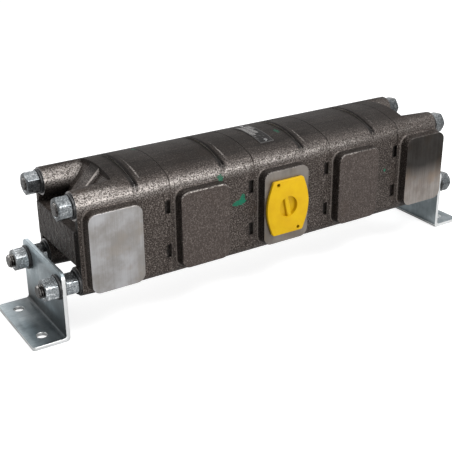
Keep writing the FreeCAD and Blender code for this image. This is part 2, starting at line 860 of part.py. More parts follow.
def nameplate_screws():
    screws = []
    for x, y in screw_places():
        foot, direction = screw_axis(x, y)
        shank = screw_hole(x, y, plate_thickness)
        seat = foot + direction * plate_thickness
        head = Part.makeCylinder(plate_screw_head_radius, plate_screw_head, seat, direction)
        rim = [e for e in head.Edges if (e.CenterOfMass - foot).dot(direction)
               > plate_thickness + plate_screw_head / 2 and e.Closed]
        screws.append(joined([shank, head.makeFillet(plate_screw_head / 2, rim[:1])]))
    return Part.makeCompound(screws)


def all_parts():
    parts = {"left_end_cover": left_end_cover(), "right_end_cover": right_end_cover()}
    for n, start in enumerate(housing_starts):
        parts[f"gear_housing_{n + 1}"] = gear_housing(start)
        parts[f"drive_gear_{n + 1}"] = drive_gear(n)
        parts[f"driven_gear_{n + 1}"] = driven_gear(n)
        parts[f"bushings_{n + 1}"] = bushing_set(start)
        parts[f"wear_plates_{n + 1}"] = wear_plate_pair(start)
    screws = [screw_hole(x, y, 1) for x, y in screw_places()]
    parts["bearing_carrier_1"] = bearing_carrier(carrier_starts[0], cast_pad_rounding)
    parts["bearing_carrier_2"] = inlet_carrier(carrier_starts[1]).cut(screws)
    parts["bearing_carrier_3"] = bearing_carrier(carrier_starts[2], cast_pad_rounding)
    for n, start in enumerate(carrier_starts):
        parts[f"coupling_sleeve_{n + 1}"] = coupling_sleeve(start)
    parts["section_seals"] = section_seals()
    parts["dowel_pins"] = dowel_pins()
    parts["top_tie_rods"] = top_tie_rods()
    parts["bottom_tie_rods"] = bottom_tie_rods()
    parts["cover_washers"] = cover_washers()
    parts["tall_nuts"] = tall_nuts()
    parts["hex_spacers"] = hex_spacers()
    parts["bracket_washers"] = bracket_washers()
    parts["bracket_nuts"] = bracket_nuts()
    parts["left_bracket"] = left_bracket()
    parts["right_bracket"] = right_bracket()
    parts["inlet_plug"] = inlet_plug()
    parts["nameplate"] = nameplate()
    parts["nameplate_screws"] = nameplate_screws()
    return parts


os.makedirs("parts", exist_ok=True)
for name, shape in all_parts().items():
    shape.translate(Vector(frame_x, 0, base_height))
    shape.exportStep(f"parts/{name}.step")
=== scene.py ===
import math

import bpy
from mathutils import Matrix, Vector


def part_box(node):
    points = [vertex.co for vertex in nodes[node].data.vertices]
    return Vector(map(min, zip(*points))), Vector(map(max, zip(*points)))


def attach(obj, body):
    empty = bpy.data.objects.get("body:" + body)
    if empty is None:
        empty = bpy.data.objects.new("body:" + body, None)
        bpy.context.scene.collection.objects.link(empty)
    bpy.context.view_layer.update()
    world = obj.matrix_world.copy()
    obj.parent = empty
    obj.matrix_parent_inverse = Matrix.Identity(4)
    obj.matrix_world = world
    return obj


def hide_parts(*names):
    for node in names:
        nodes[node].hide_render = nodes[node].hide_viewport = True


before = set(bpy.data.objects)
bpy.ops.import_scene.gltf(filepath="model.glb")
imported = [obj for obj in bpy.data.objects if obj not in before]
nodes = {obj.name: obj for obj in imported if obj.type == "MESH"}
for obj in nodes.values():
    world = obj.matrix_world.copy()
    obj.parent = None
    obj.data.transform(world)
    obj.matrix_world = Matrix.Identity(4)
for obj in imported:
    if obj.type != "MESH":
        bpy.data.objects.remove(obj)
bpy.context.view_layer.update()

mm = 0.001


class Wire:
    # one output of a shader node; arithmetic on it adds Math nodes
    def __init__(self, owner, socket):
        self.owner = owner
        self.socket = socket

    def out(self, name):
        return Wire(self.owner, self.socket.node.outputs[name])

    def calc(self, operation, *values):
        sockets = {number: value for number, value in enumerate(values)}
        return self.owner.node("ShaderNodeMath", {"operation": operation}, sockets)

    def __add__(self, other):
        return self.calc("ADD", self, other)

    def __radd__(self, other):
        return self.calc("ADD", other, self)

    def __sub__(self, other):
        return self.calc("SUBTRACT", self, other)

    def __rsub__(self, other):
        return self.calc("SUBTRACT", other, self)

    def __mul__(self, other):
        return self.calc("MULTIPLY", self, other)

    def __rmul__(self, other):
        return self.calc("MULTIPLY", other, self)

    def __gt__(self, other):
        return self.calc("GREATER_THAN", self, other)

    def __lt__(self, other):
        return self.calc("LESS_THAN", self, other)

    def __abs__(self):
        return self.calc("ABSOLUTE", self)

    def atLeast(self, other):
        return self.calc("MAXIMUM", self, other)


class Nodes:
    # a node tree and the one way in which its nodes are added
    def __init__(self, tree):
        self.tree = tree

    def plug(self, value, socket):
        if isinstance(value, Wire):
            self.tree.links.new(value.socket, socket)
        else:
            socket.default_value = value

    def node(self, kind, settings=None, sockets=None, out=0):
        made = self.tree.nodes.new(kind)
        for name, value in (settings or {}).items():
            setattr(made, name, value)
        for name, value in (sockets or {}).items():
            self.plug(value, made.inputs[name])
        return Wire(self, made.outputs[out])

    def mix(self, factor, first, second):
        return self.node("ShaderNodeMix", {"data_type": "FLOAT"}, {0: factor, 2: first, 3: second})


def opaque(value):
    # a colour with its alpha; anything else as it is
    return (*value, 1) if isinstance(value, tuple) else value


class Finish(Nodes):
    # a material and its object coordinates in metres
    def __init__(self, name):
        self.material = bpy.data.materials.new(name)
        self.material.use_nodes = True
        super().__init__(self.material.node_tree)
        self.shader = self.tree.nodes["Principled BSDF"]
        self.coords = self.node("ShaderNodeTexCoord", out="Object")
        self.x = self.node("ShaderNodeSeparateXYZ", {}, {"Vector": self.coords}, "X")
        self.y = self.x.out("Y")
        self.z = self.x.out("Z")
        self.normal = None

    def facing(self, side):
        # which way the surface points along X, Y or Z
        if not self.normal:
            normal = self.node("ShaderNodeNewGeometry", out="Normal")
            self.normal = self.node("ShaderNodeSeparateXYZ", {}, {"Vector": normal})
        return self.normal.out(side)

    def noise(self, scale, detail, rough, vector=None):
        sockets = {"Vector": vector or self.coords, "Scale": scale, "Detail": detail, "Roughness": rough}
        return self.node("ShaderNodeTexNoise", {}, sockets)

    def streaks(self, scale, detail, rough, turn=(0, 0, 0)):
        # noise with its own scale along X, Y and Z
        sockets = {"Vector": self.coords, "Scale": scale, "Rotation": turn}
        return self.noise(1.0, detail, rough, self.node("ShaderNodeMapping", {}, sockets))

    def ease(self, value, low, high, start=0.0, end=1.0):
        sockets = {"Value": value, "From Min": low, "From Max": high, "To Min": start, "To Max": end}
        return self.node("ShaderNodeMapRange", {"interpolation_type": "SMOOTHSTEP"}, sockets)

    def span(self, place, low, high, start=0.0, end=1.0):
        # eases between two places in millimetres
        return self.ease(place, low * mm, high * mm, start, end)

    def within(self, place, low, high):
        return (place > low * mm) * (place < high * mm)

    def inCircle(self, first, second, radius):
        return (first * first + second * second) < (radius * mm) ** 2

    def vectors(self, operation, first, second, out=0):
        return self.node("ShaderNodeVectorMath", {"operation": operation}, {0: first, 1: second}, out)

    def shade(self, colour, factor):
        # the colour times a grey value
        return self.node("ShaderNodeVectorMath", {"operation": "SCALE"}, {0: colour, "Scale": factor})

    def blend(self, factor, first, second):
        sockets = {0: factor, 6: opaque(first), 7: opaque(second)}
        return self.node("ShaderNodeMix", {"data_type": "RGBA"}, sockets, 2)

    def bump(self, height, strength, distance, normal=None):
        # the distance is in millimetres
        sockets = {"Height": height, "Strength": strength, "Distance": distance * mm}
        if normal:
            sockets["Normal"] = normal
        return self.node("ShaderNodeBump", {}, sockets)

    def use(self, **sockets):
        for name, value in sockets.items():
            self.plug(opaque(value), self.shader.inputs[name.replace("_", " ")])
        return self.material


def leaveEdit():
    if bpy.context.object and bpy.context.object.mode == "EDIT":
        bpy.ops.object.mode_set(mode="OBJECT")


def onlyThis(piece):
    leaveEdit()
    bpy.ops.object.select_all(action="DESELECT")
    piece.select_set(True)
    bpy.context.view_layer.objects.active = piece


def startFrom(primitive, name, **settings):
    # a primitive at its size and place, with that place in its mesh
    leaveEdit()
    bpy.ops.object.select_all(action="DESELECT")
    primitive(**settings)
    piece = bpy.context.object
    piece.name = piece.data.name = name
    bpy.ops.object.transform_apply(location=True, rotation=True, scale=True)
    return piece


def blockFrom(name, low, high):
    # a cube between two corners given in millimetres
    middle = [(first + second) / 2 * mm for first, second in zip(low, high)]
    size = [(second - first) * mm for first, second in zip(low, high)]
    return startFrom(bpy.ops.mesh.primitive_cube_add, name, size=1, location=middle, scale=size)


def roundFrom(name, radius, start, end, along="X", sides=64):
    # a cylinder between two places in millimetres, along X, Y or Z
    middle = (Vector(start) + Vector(end)) / 2 * mm
    length = (Vector(end) - Vector(start)).length * mm
    turn = {"X": (0, math.pi / 2, 0), "Y": (math.pi / 2, 0, 0), "Z": (0, 0, 0)}[along]
    return startFrom(bpy.ops.mesh.primitive_cylinder_add, name, vertices=sides, radius=radius * mm,
                     depth=length, location=middle, rotation=turn)


def at(value, place):
    return abs(value - place) < 0.01


def choose(piece, test, kind="FACE"):
    # stays in edit mode with only what passes the test selected
    onlyThis(piece)
    bpy.ops.object.mode_set(mode="EDIT")
    bpy.ops.mesh.select_mode(type=kind)
    bpy.ops.mesh.select_all(action="DESELECT")
    bpy.ops.object.mode_set(mode="OBJECT")
    if kind == "FACE":
        for face in piece.data.polygons:
            face.select = test(face.center / mm, face.normal)
    else:
        for edge in piece.data.edges:
            start, end = (piece.data.vertices[number].co / mm for number in edge.vertices)
            edge.select = test((start + end) / 2, end - start)
    bpy.ops.object.mode_set(mode="EDIT")


def chooseAll(piece):
    onlyThis(piece)
    bpy.ops.object.mode_set(mode="EDIT")
    bpy.ops.mesh.select_mode(type="VERT")
    bpy.ops.mesh.select_all(action="SELECT")


def bevelEdges(piece, width, segments, test):
    choose(piece, test, "EDGE")
    bpy.ops.mesh.bevel(offset=width * mm, segments=segments, affect="EDGES")
    leaveEdit()


def soften(piece, width, segments, angle):
    # rounds every edge sharper than the angle
    onlyThis(piece)
    rounding = piece.modifiers.new("rounding", "BEVEL")
    rounding.width = width * mm
    rounding.segments = segments
    rounding.limit_method = "ANGLE"
    rounding.angle_limit = math.radians(angle)
    bpy.ops.object.modifier_apply(modifier=rounding.name)


def carve(piece, tool, operation="DIFFERENCE"):
    # a boolean with a tool, which is then thrown away
    onlyThis(piece)
    carving = piece.modifiers.new("carving", "BOOLEAN")
    carving.operation = operation
    carving.solver = "EXACT"
    carving.object = tool
    bpy.ops.object.modifier_apply(modifier=carving.name)
    bpy.data.objects.remove(tool)


def copyTo(piece, place, turn=0.0, axis="X"):
    copy = piece.copy()
    copy.data = piece.data.copy()
    bpy.context.scene.collection.objects.link(copy)
    move = Matrix.Translation([value * mm for value in place])
    copy.data.transform(move @ Matrix.Rotation(math.radians(turn), 4, axis))
    return copy


def joinAll(pieces, name):
    onlyThis(pieces[0])
    for piece in pieces:
        piece.select_set(True)
    bpy.ops.object.join()
    joined = bpy.context.object
    joined.name = joined.data.name = name
    return joined


def dress(node, material):
    node.data.materials.clear()
    node.data.materials.append(material)


def fit(piece, material, body, slot, *stoodFor, angle=30):
    # finish, shading and body of a new piece, and the nodes that it stands for
    chooseAll(piece)
    bpy.ops.mesh.normals_make_consistent(inside=False)
    bpy.ops.object.mode_set(mode="OBJECT")
    bpy.ops.object.shade_smooth_by_angle(angle=math.radians(angle))
    dress(piece, material)
    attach(piece, body)
    if stoodFor:
        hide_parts(*stoodFor)


# Iron castings. Places are in millimetres. A range is (from, to) or (from, to, value before, value after),
# a turn is a range of the way that the surface points, and a noise is (scale, detail, roughness).
castingLook = {
    "pit": (0.006, 0.004, 0.003), "skin": (0.041, 0.033, 0.029), "peak": (0.205, 0.178, 0.161),
    "rust": (0.070, 0.043, 0.027), "skinLevel": (0.34, 0.50), "peakLevel": (0.50, 0.66),
    "grain": (760.0, 3, 0.62), "dust": (2052.0, 2, 0.6), "dustShare": 0.3, "grainDepth": 0.26,
    "swell": (130.0, 3, 0.55), "swellDepth": 0.30, "patches": (21.0, 3, 0.55),
    "rustPatches": (0.56, 0.80, 0.0, 0.35), "patchShade": (0.25, 0.70, 1.12, 0.86),
    "lengthPaintedShade": (-200.0, 240.0, 1.10, 0.86), "top": (144.0, 151.0), "topSmooth": 0.5, "topPaintedShade": 0.62,
    "drawn": ((22, 190, 190), 3, 0.6), "drawnShade": (0.3, 0.7, -0.25, 0.25), "freeBoss": (170.0, 190.0),
    "rough": (0.3, 0.7, 0.31, 0.43), "topRough": 0.24, "wearAndHighlightRough": 0.10, "metal": 0.12, "gloss": 0.11,
}


class Casting(Finish):
    # with the grain and the places that a casting's steps share
    def __init__(self, name):
        super().__init__(name + "_iron")
        look = castingLook
        self.name = name
        self.low, self.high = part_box(name)
        self.isCover = name.endswith("cover")
        self.isGear = name.startswith("gear")
        self.dust = self.noise(*look["dust"])
        self.level = self.mix(look["dustShare"], self.noise(*look["grain"]), self.dust)
        self.patches = self.noise(*look["patches"])
        self.top = self.span(self.z, *look["top"])
        self.freeBoss = self.span(abs(self.x), *look["freeBoss"])


def rawSkin(iron):
    # dark pits, a brown skin and pale peaks, rusty and uneven in patches, and painted shade darker towards
    # the right end
    look = castingLook
    colour = iron.blend(iron.ease(iron.level, *look["skinLevel"]), look["pit"], look["skin"])
    colour = iron.blend(iron.ease(iron.level, *look["peakLevel"]), colour, look["peak"])
    colour = iron.blend(iron.ease(iron.patches, *look["rustPatches"]), colour, look["rust"])
    colour = iron.shade(colour, iron.ease(iron.patches, *look["patchShade"]))
    # painted shade: lighter at the left end, darker towards the right
    return iron.shade(colour, iron.span(iron.x, *look["lengthPaintedShade"]))


def smoothTop(iron, colour):
    # smoother than the front, with drawn streaks, and darker as painted shade
    look = castingLook
    drawn = iron.streaks(*look["drawn"])
    colour = iron.blend(iron.top * look["topSmooth"], colour, look["skin"])
    # painted shade on the top
    colour = iron.shade(colour, 1 - iron.top * look["topPaintedShade"])
    return iron.shade(colour, 1 + iron.ease(drawn, *look["drawnShade"]) * iron.top)


padLook = {
    "wall": (-53.5, -52.6, 1.0, 0.0), "wallTurn": (-0.85, -0.60), "wallPaintedShade": 0.52, "coverWallPaintedShade": 0.30,
    "foot": (-52.9, -51.9), "footTurn": -0.2, "footPaintedHighlight": 0.4, "face": -62.6, "faceCover": 0.45,
    "faceSkin": (0.076, 0.061, 0.055),
}


def padWalls(iron, colour):
    # a pad's walls are darker than its face as painted shade, and their foot on the left gets a painted
    # highlight
    look = padLook
    wall = iron.span(iron.y, *look["wall"]) * iron.ease(iron.facing("Y"), *look["wallTurn"])
    # painted shade on the pad walls
    colour = iron.shade(colour, 1 - wall * look["coverWallPaintedShade" if iron.isCover else "wallPaintedShade"])
    # painted highlight along the foot of the walls
    foot = iron.within(iron.y, *look["foot"]) * (iron.facing("X") < look["footTurn"])
    colour = iron.blend(foot * look["footPaintedHighlight"], colour, castingLook["peak"])
    face = (iron.y < look["face"] * mm) * look["faceCover"]
    return iron.blend(face, colour, look["faceSkin"])


jointLook = {
    "turn": (0.35, 0.75), "rise": (130.0, 142.0), "depth": 1.3,
    "narrow": {"dirt": (0.4, 1.3, 1.0, 0.0), "dark": 0.35, "groove": (0.0, 1.04, 0.2, 0.0)},
    "wide": {"dirt": (1.6, 5.0, 1.0, 0.0), "dark": 0.92, "groove": (0.0, 4.0, 1.8, 0.0)},
}


def joints(iron, colour):
    # dirt and a groove at each end: wide at a gear housing's left and narrow at its right; at a wide joint
    # the dark band is also painted shadow of the collar's step
    look = jointLook
    kinds = ("wide", "narrow") if iron.isGear else ("narrow", "wide")
    groove = 0
    for end, kind in zip((iron.low.x, iron.high.x), kinds):
        joint = look[kind]
        away = abs(iron.x - end)
        dirt = iron.span(away, *joint["dirt"]) * iron.ease(iron.facing("Z"), *look["turn"])
        # darker at each joint: dirt in the seam, and at a wide joint also painted shadow of the collar's
        # step
        colour = iron.shade(colour, 1 - dirt * joint["dark"])
        groove = groove + iron.span(away, *joint["groove"])
    return colour, groove * iron.span(iron.z, *look["rise"])


slotLook = {
    "y": (-50.8, -46.0), "z": (55.0, 127.0), "dark": 0.85, "middleZ": 90.6, "mouthZ": (16.6, 30.6),
    "mouthX": (5.2, 6.6, 0.9, 0.0), "mouthY": -49.0,
}


def slots(iron, colour):
    # painted shade inside the prising slots, and on a gear housing darker round their mouths
    look = slotLook
    dirt = iron.within(iron.y, *look["y"]) * iron.within(iron.z, *look["z"])
    if iron.isGear:
        mouth = iron.within(abs(iron.z - look["middleZ"] * mm), *look["mouthZ"])
        mouth = mouth * iron.span(iron.high.x - iron.x, *look["mouthX"])
        dirt = dirt.atLeast(mouth * (iron.y < look["mouthY"] * mm))
    # painted shade in the slots, and darker round their mouths
    return iron.shade(colour, 1 - dirt * look["dark"])


wearAndHighlightLook = {
    "colour": (0.400, 0.368, 0.345), "front": -51.7,
    "shoulder": (126.5, 138.5), "shoulderTurn": (0.62, 1.0), "padTop": -61.0,
    "padTopTurn": (0.15, 0.45, 0.0, 0.8), "bossFrom": 116.0, "bossTurnY": (-0.70, -0.20, 1.0, 0.0),
    "bossTurnZ": (0.05, 0.45, 0.0, 0.62),
    "streakAt": 8.6, "streak": (0.4, 1.6, 0.8, 0.0), "streakEnd": (-30.0, 5.0, 1.0, 0.0),
    "grit": (700.0, 3, 0.68), "gritDust": 0.25, "gritFrom": (-220.0, 20.0, 0.415, 0.450),
    "gritStep": (0.0, 0.12), "thinning": 0.05,
    "patches": (0.25, 0.6, 0.65, 1.0), "length": (30.0, 170.0, 1.0, 0.28),
}


def wearAndHighlightPlaces(iron):
    # wear and painted highlight: shoulders, pad tops, the light side of the free bosses, and a streak on top
    # of a gear housing
    look = wearAndHighlightLook
    front = iron.y > look["front"] * mm
    shoulder = iron.ease(abs(iron.facing("Y")), *look["shoulderTurn"]) * iron.span(iron.z, *look["shoulder"])
    padTop = (iron.y < look["padTop"] * mm) * iron.ease(iron.facing("Z"), *look["padTopTurn"])
    boss = iron.ease(iron.facing("Y"), *look["bossTurnY"]) * iron.ease(iron.facing("Z"), *look["bossTurnZ"])
    boss = iron.freeBoss * boss * (iron.z > look["bossFrom"] * mm)
    wearAndHighlight = (shoulder.atLeast(boss) * front).atLeast(padTop)
    if iron.isGear:
        streak = iron.span(abs(iron.x - iron.low.x - look["streakAt"] * mm), *look["streak"])
        wearAndHighlight = wearAndHighlight.atLeast(streak * iron.top * iron.span(iron.y, *look["streakEnd"]))
    return wearAndHighlight


def wearAndHighlightGrains(iron):
    # only the high grains of these places are bright with wear and painted highlight, more of them at the
    # left end and fewer to the right
    look = wearAndHighlightLook
    wearAndHighlight = wearAndHighlightPlaces(iron)
    grit = iron.mix(look["gritDust"], iron.noise(*look["grit"]), iron.dust)
    high = grit - iron.span(iron.x, *look["gritFrom"]) + (wearAndHighlight - 1) * look["thinning"]
    wearAndHighlight = wearAndHighlight * iron.ease(high, *look["gritStep"])
    return wearAndHighlight * iron.ease(iron.patches, *look["patches"]) * iron.span(iron.x, *look["length"])


coverLook = {
    "front": -51.0, "underTurn": (-0.5, 0.15, 0.6, 0.0), "edgeAt": 9.2, "edge": (0.5, 1.1, 1.0, 0.0),
    "edgeTurn": (0.2, 0.4), "edgeStop": (0.85, 0.97, 1.0, 0.0), "edgeLevel": (0.36, 0.46, 0.45, 0.95),
    "noseFrom": 225.5, "noseDark": 0.25, "lumps": (150.0, 3, 0.6), "lumpDepth": 2.6,
    "glints": (300.0, 3, 0.7), "glintLevel": (0.60, 0.70, 0.0, 0.4),
}


def freeBosses(iron, colour, wearAndHighlight):
    # painted shade where they face down, and the rib between them has bare edges that also carry a painted
    # highlight
    look = coverLook
    under = iron.ease(iron.facing("Z"), *look["underTurn"]) * (iron.y > look["front"] * mm)
    # painted shade on the undersides of the free bosses
    colour = iron.shade(colour, 1 - iron.freeBoss * under)
    side = abs(iron.facing("Y"))
    edge = iron.span(abs(abs(iron.y) - look["edgeAt"] * mm), *look["edge"])
    edge = edge * iron.ease(side, *look["edgeTurn"]) * iron.ease(side, *look["edgeStop"])
    edge = edge * iron.freeBoss * iron.ease(iron.level, *look["edgeLevel"])
    return colour, wearAndHighlight.atLeast(edge)


def castNose(iron, colour, wearAndHighlight, relief):
    # a lumpy, darker band with a few painted glints
    look = coverLook
    nose = (abs(iron.x) > look["noseFrom"] * mm) * (iron.y > look["front"] * mm)
    relief = iron.bump(iron.noise(*look["lumps"]) * nose, 1.0, look["lumpDepth"], relief)
    glint = iron.ease(iron.noise(*look["glints"]), *look["glintLevel"]) * nose
    # painted glints on the nose band
    colour = iron.blend(glint, iron.shade(colour, 1 - nose * look["noseDark"]), wearAndHighlightLook["colour"])
    return colour, wearAndHighlight.atLeast(glint), relief


# each dab: its middle, its half sizes and how much of it covers
dabLook = {
    "green": (0.010, 0.130, 0.075), "rag": 1.7, "grain": (330.0, 3, 0.6), "edge": (0.85, 1.0, 1.0, 0.0),
    "level": (0.34, 0.54, 0.3, 0.95),
    "dabs": {
        "bearing_carrier_1": [((-39, 15, 153), (9, 3, 4), 0.6), ((-70, -50, 132), (4, 6, 4), 0.8)],
        "gear_housing_2": [((-47, -51, 100), (9, 5, 3.2), 1), ((-43, -51, 103), (3.5, 5, 6), 1)],
        "bearing_carrier_2": [((25.5, -13.5, 152), (3, 5, 4), 0.4)],
        "gear_housing_1": [((-128.3, 20.2, 152), (3, 5, 4), 0.5)],
        "gear_housing_4": [((150, -51.5, 95), (1.6, 4, 1.8), 0.9)],
    },
}


def paintDabs(iron, colour):
    # ragged marks of green marking paint
    look = dabLook
    for place, size, cover in look["dabs"].get(iron.name, []):
        away = iron.vectors("SUBTRACT", iron.coords, [value * mm for value in place])
        away = iron.vectors("DIVIDE", away, [value * mm for value in size])
        away = iron.node("ShaderNodeVectorMath", {"operation": "LENGTH"}, {0: away}, "Value")
        ragged = away + (iron.noise(*look["grain"]) - 0.5) * look["rag"]
        dab = iron.ease(ragged, *look["edge"]) * cover * iron.ease(iron.level, *look["level"])
        colour = iron.blend(dab, colour, look["green"])
    return colour


machinedLook = {
    "seatFace": 53.9, "bossFace": 224.75, "lastJoint": 202.0, "reach": 0.06,
    "rodsZ": 94.0, "rodY": 39.0, "seatRadius": 14.4, "portRadius": 10.7, "portFrom": 30.0,
    "brushed": ((1100, 40, 10), 3, 0.6), "brushedLevel": (0.3, 0.7), "brushedShare": 0.1,
    "brushedStrength": 0.25, "brushedDepth": 0.03, "clouds": (34.0, 4, 0.6), "cloudLevel": (0.36, 0.62),
    "warmth": (55.0, 3, 0.5), "warmLevel": (0.52, 0.70, 0.0, 0.6),
    "rough": (0.3, 0.7, 0.30, 0.44), "paintedReflectionRag": 0.02, "metal": 0.9,
    "pads": {
        "left_end_cover": {"low": (0.290, 0.275, 0.262), "high": (0.395, 0.392, 0.400),
                           "warm": (0.315, 0.285, 0.255), "streaks": 0.03},
        "bearing_carrier_2": {"low": (0.150, 0.134, 0.120), "high": (0.225, 0.205, 0.186),
                              "warm": (0.170, 0.142, 0.110), "streaks": 0.04},
        "right_end_cover": {"low": (0.220, 0.190, 0.170), "high": (0.310, 0.285, 0.265),
                            "warm": (0.280, 0.215, 0.165), "streaks": 0.14,
                            "paintedReflection": (68.0, 100.0, 1.0, 0.13)},
    },
}


def bareFaces(iron):
    # outlet seats, nut seats, joint faces, the outlets themselves and the machined pads
    look = machinedLook
    reach = look["reach"] * mm
    seatY = abs(iron.y) - look["rodY"] * mm
    seatZ = abs(iron.z - look["rodsZ"] * mm) - look["rodY"] * mm
    seat = iron.inCircle(seatY, seatZ, look["seatRadius"])
    seat = seat * (abs(abs(iron.x) - look["bossFace"] * mm) < reach)
    bare = (iron.y > look["seatFace"] * mm).atLeast(seat)
    for end in (iron.low.x, iron.high.x):
        if abs(end) < look["lastJoint"] * mm:
            bare = bare.atLeast(abs(iron.x - end) < reach)
    if iron.isGear:
        middle = (iron.low.x + iron.high.x) / 2
        port = iron.inCircle(iron.x - middle, iron.z - look["rodsZ"] * mm, look["portRadius"])
        bare = bare.atLeast(port * (iron.y > look["portFrom"] * mm))
    if iron.name in look["pads"]:
        bare = bare.atLeast(iron.y < padLook["face"] * mm)
    return bare


def bareMetal(iron):
    # brushed and a little stained: its colour, roughness and relief, and a painted dark reflection over the
    # upper part of the right end's pad
    look = machinedLook
    pad = look["pads"].get(iron.name, look["pads"]["bearing_carrier_2"])
    brushed = iron.streaks(*look["brushed"])
    clouds = iron.noise(*look["clouds"])
    level = iron.ease(iron.mix(look["brushedShare"], clouds, brushed), *look["cloudLevel"])
    metal = iron.blend(level, pad["low"], pad["high"])
    warm = iron.ease(iron.noise(*look["warmth"]), *look["warmLevel"])
    metal = iron.blend(warm, metal, pad["warm"])
    streaks = iron.ease(brushed, *look["brushedLevel"], 1 - pad["streaks"], 1 + pad["streaks"])
    metal = iron.shade(metal, streaks)
    # painted dark reflection over the upper part of a pad
    if "paintedReflection" in pad:
        metal = iron.shade(metal, iron.span(iron.z + (clouds - 0.5) * look["paintedReflectionRag"], *pad["paintedReflection"]))
    relief = iron.bump(brushed, look["brushedStrength"], look["brushedDepth"])
    return metal, iron.ease(clouds, *look["rough"]), relief


def castIron(name):
    look = castingLook
    iron = Casting(name)
    colour, groove = joints(iron, padWalls(iron, rawSkin(iron)))
    colour = smoothTop(iron, slots(iron, colour))
    wearAndHighlight = wearAndHighlightGrains(iron)
    if iron.isCover:
        colour, wearAndHighlight = freeBosses(iron, colour, wearAndHighlight)
    # pale grains of wear and painted highlight
    colour = paintDabs(iron, iron.blend(wearAndHighlight, colour, wearAndHighlightLook["colour"]))
    rough = iron.ease(iron.patches, *look["rough"]) + iron.top * look["topRough"] + wearAndHighlight * look["wearAndHighlightRough"]
    relief = iron.bump(iron.noise(*look["swell"]), 1.0, look["swellDepth"])
    relief = iron.bump(1 - groove, 1.0, jointLook["depth"], relief)
    if iron.isCover:
        colour, wearAndHighlight, relief = castNose(iron, colour, wearAndHighlight, relief)
    relief = iron.bump(iron.level, 1.0, look["grainDepth"], relief)
    bare = bareFaces(iron)
    metal, metalRough, streaks = bareMetal(iron)
    metallic = iron.mix(bare, wearAndHighlight.atLeast((1 - iron.top) * look["metal"]), machinedLook["metal"])
    normal = iron.node("ShaderNodeMix", {"data_type": "VECTOR"}, {0: bare, 4: relief, 5: streaks}, 1)
    return iron.use(Base_Color=iron.blend(bare, colour, metal), Metallic=metallic, Normal=normal,
                    Roughness=iron.mix(bare, rough, metalRough), Specular_IOR_Level=look["gloss"])


castingNames = ["left_end_cover", "right_end_cover"]
castingNames += [name for name in nodes if name.startswith(("gear_housing", "bearing_carrier"))]
for name in castingNames:
    dress(nodes[name], castIron(name))
print("castings finished:", len(castingNames))


# Zinc plate on the nuts and brackets
zincLook = {
    "darkLevel": (0.34, 0.50), "brightLevel": (0.50, 0.64), "clouds": (38.0, 3, 0.55), "cloudShare": 0.28,
    "drawn": ((60, 700, 30), 3, 0.6), "drawnShade": (0.3, 0.7, 0.92, 1.06), "strength": 0.6,
    "nutZinc": {"dark": (0.055, 0.063, 0.068), "middle": (0.205, 0.220, 0.230), "bright": (0.58, 0.60, 0.61),
                "specks": (560.0, 4, 0.68), "rough": (0.3, 0.7, 0.19, 0.33), "depth": 0.10},
    "sheetZinc": {"dark": (0.165, 0.190, 0.202), "middle": (0.208, 0.238, 0.252),
                  "bright": (0.275, 0.306, 0.320), "specks": (60.0, 4, 0.68),
                  "rough": (0.3, 0.7, 0.29, 0.43), "depth": 0.015},
}
nutShade = {
    "right": (0.0, 200.0), "rightFront": 0.60, "rightBack": 0.36, "leftLow": 1.62, "leftHigh": 1.10,
    "rodsZ": 94.0, "endTurn": (0.55, 0.95), "rightEnd": 0.85, "leftEnd": 0.62,
}
sheetShade = {
    "upSlope": -8.5, "backSlope": -6.0, "uprightClouds": 0.2, "nearBend": (4.0, 22.0, 0.45, 0.0),
    "upright": (-0.85, 0.15), "footSlope": 0.12, "footClouds": 0.01, "foot": (0.252, 0.2815, 0.93, 0.38),
    "footTop": 3.9, "wallFrom": 6.0, "leftBright": 2.7, "leftPaintedShade": 2.46, "right": (4.0, 9.0, 0.95, 1.80),
    "bendTurn": (0.15, 0.4), "bendDark": 0.62, "sheared": (0.80, 0.81, 0.81), "shearedTurn": (0.8, 0.95),
    "cutTurn": (0.3, 0.6, 0.8, 0.0),
}


def shadeNuts(zinc, colour):
    # the right end is in shade, most of all at its back, and the lower left nuts are the brightest
    look = nutShade
    rightSide = zinc.mix(zinc.y > 0, look["rightFront"], look["rightBack"])
    leftSide = zinc.mix(zinc.z > look["rodsZ"] * mm, look["leftLow"], look["leftHigh"])
    colour = zinc.shade(colour, zinc.mix(zinc.span(zinc.x, *look["right"]), leftSide, rightSide))
    # painted shade on the nuts' end faces
    endShade = zinc.mix(zinc.x < 0, look["rightEnd"], look["leftEnd"])
    ends = zinc.ease(abs(zinc.facing("X")), *look["endTurn"])
    return zinc.shade(colour, zinc.mix(ends, 1.0, endShade))


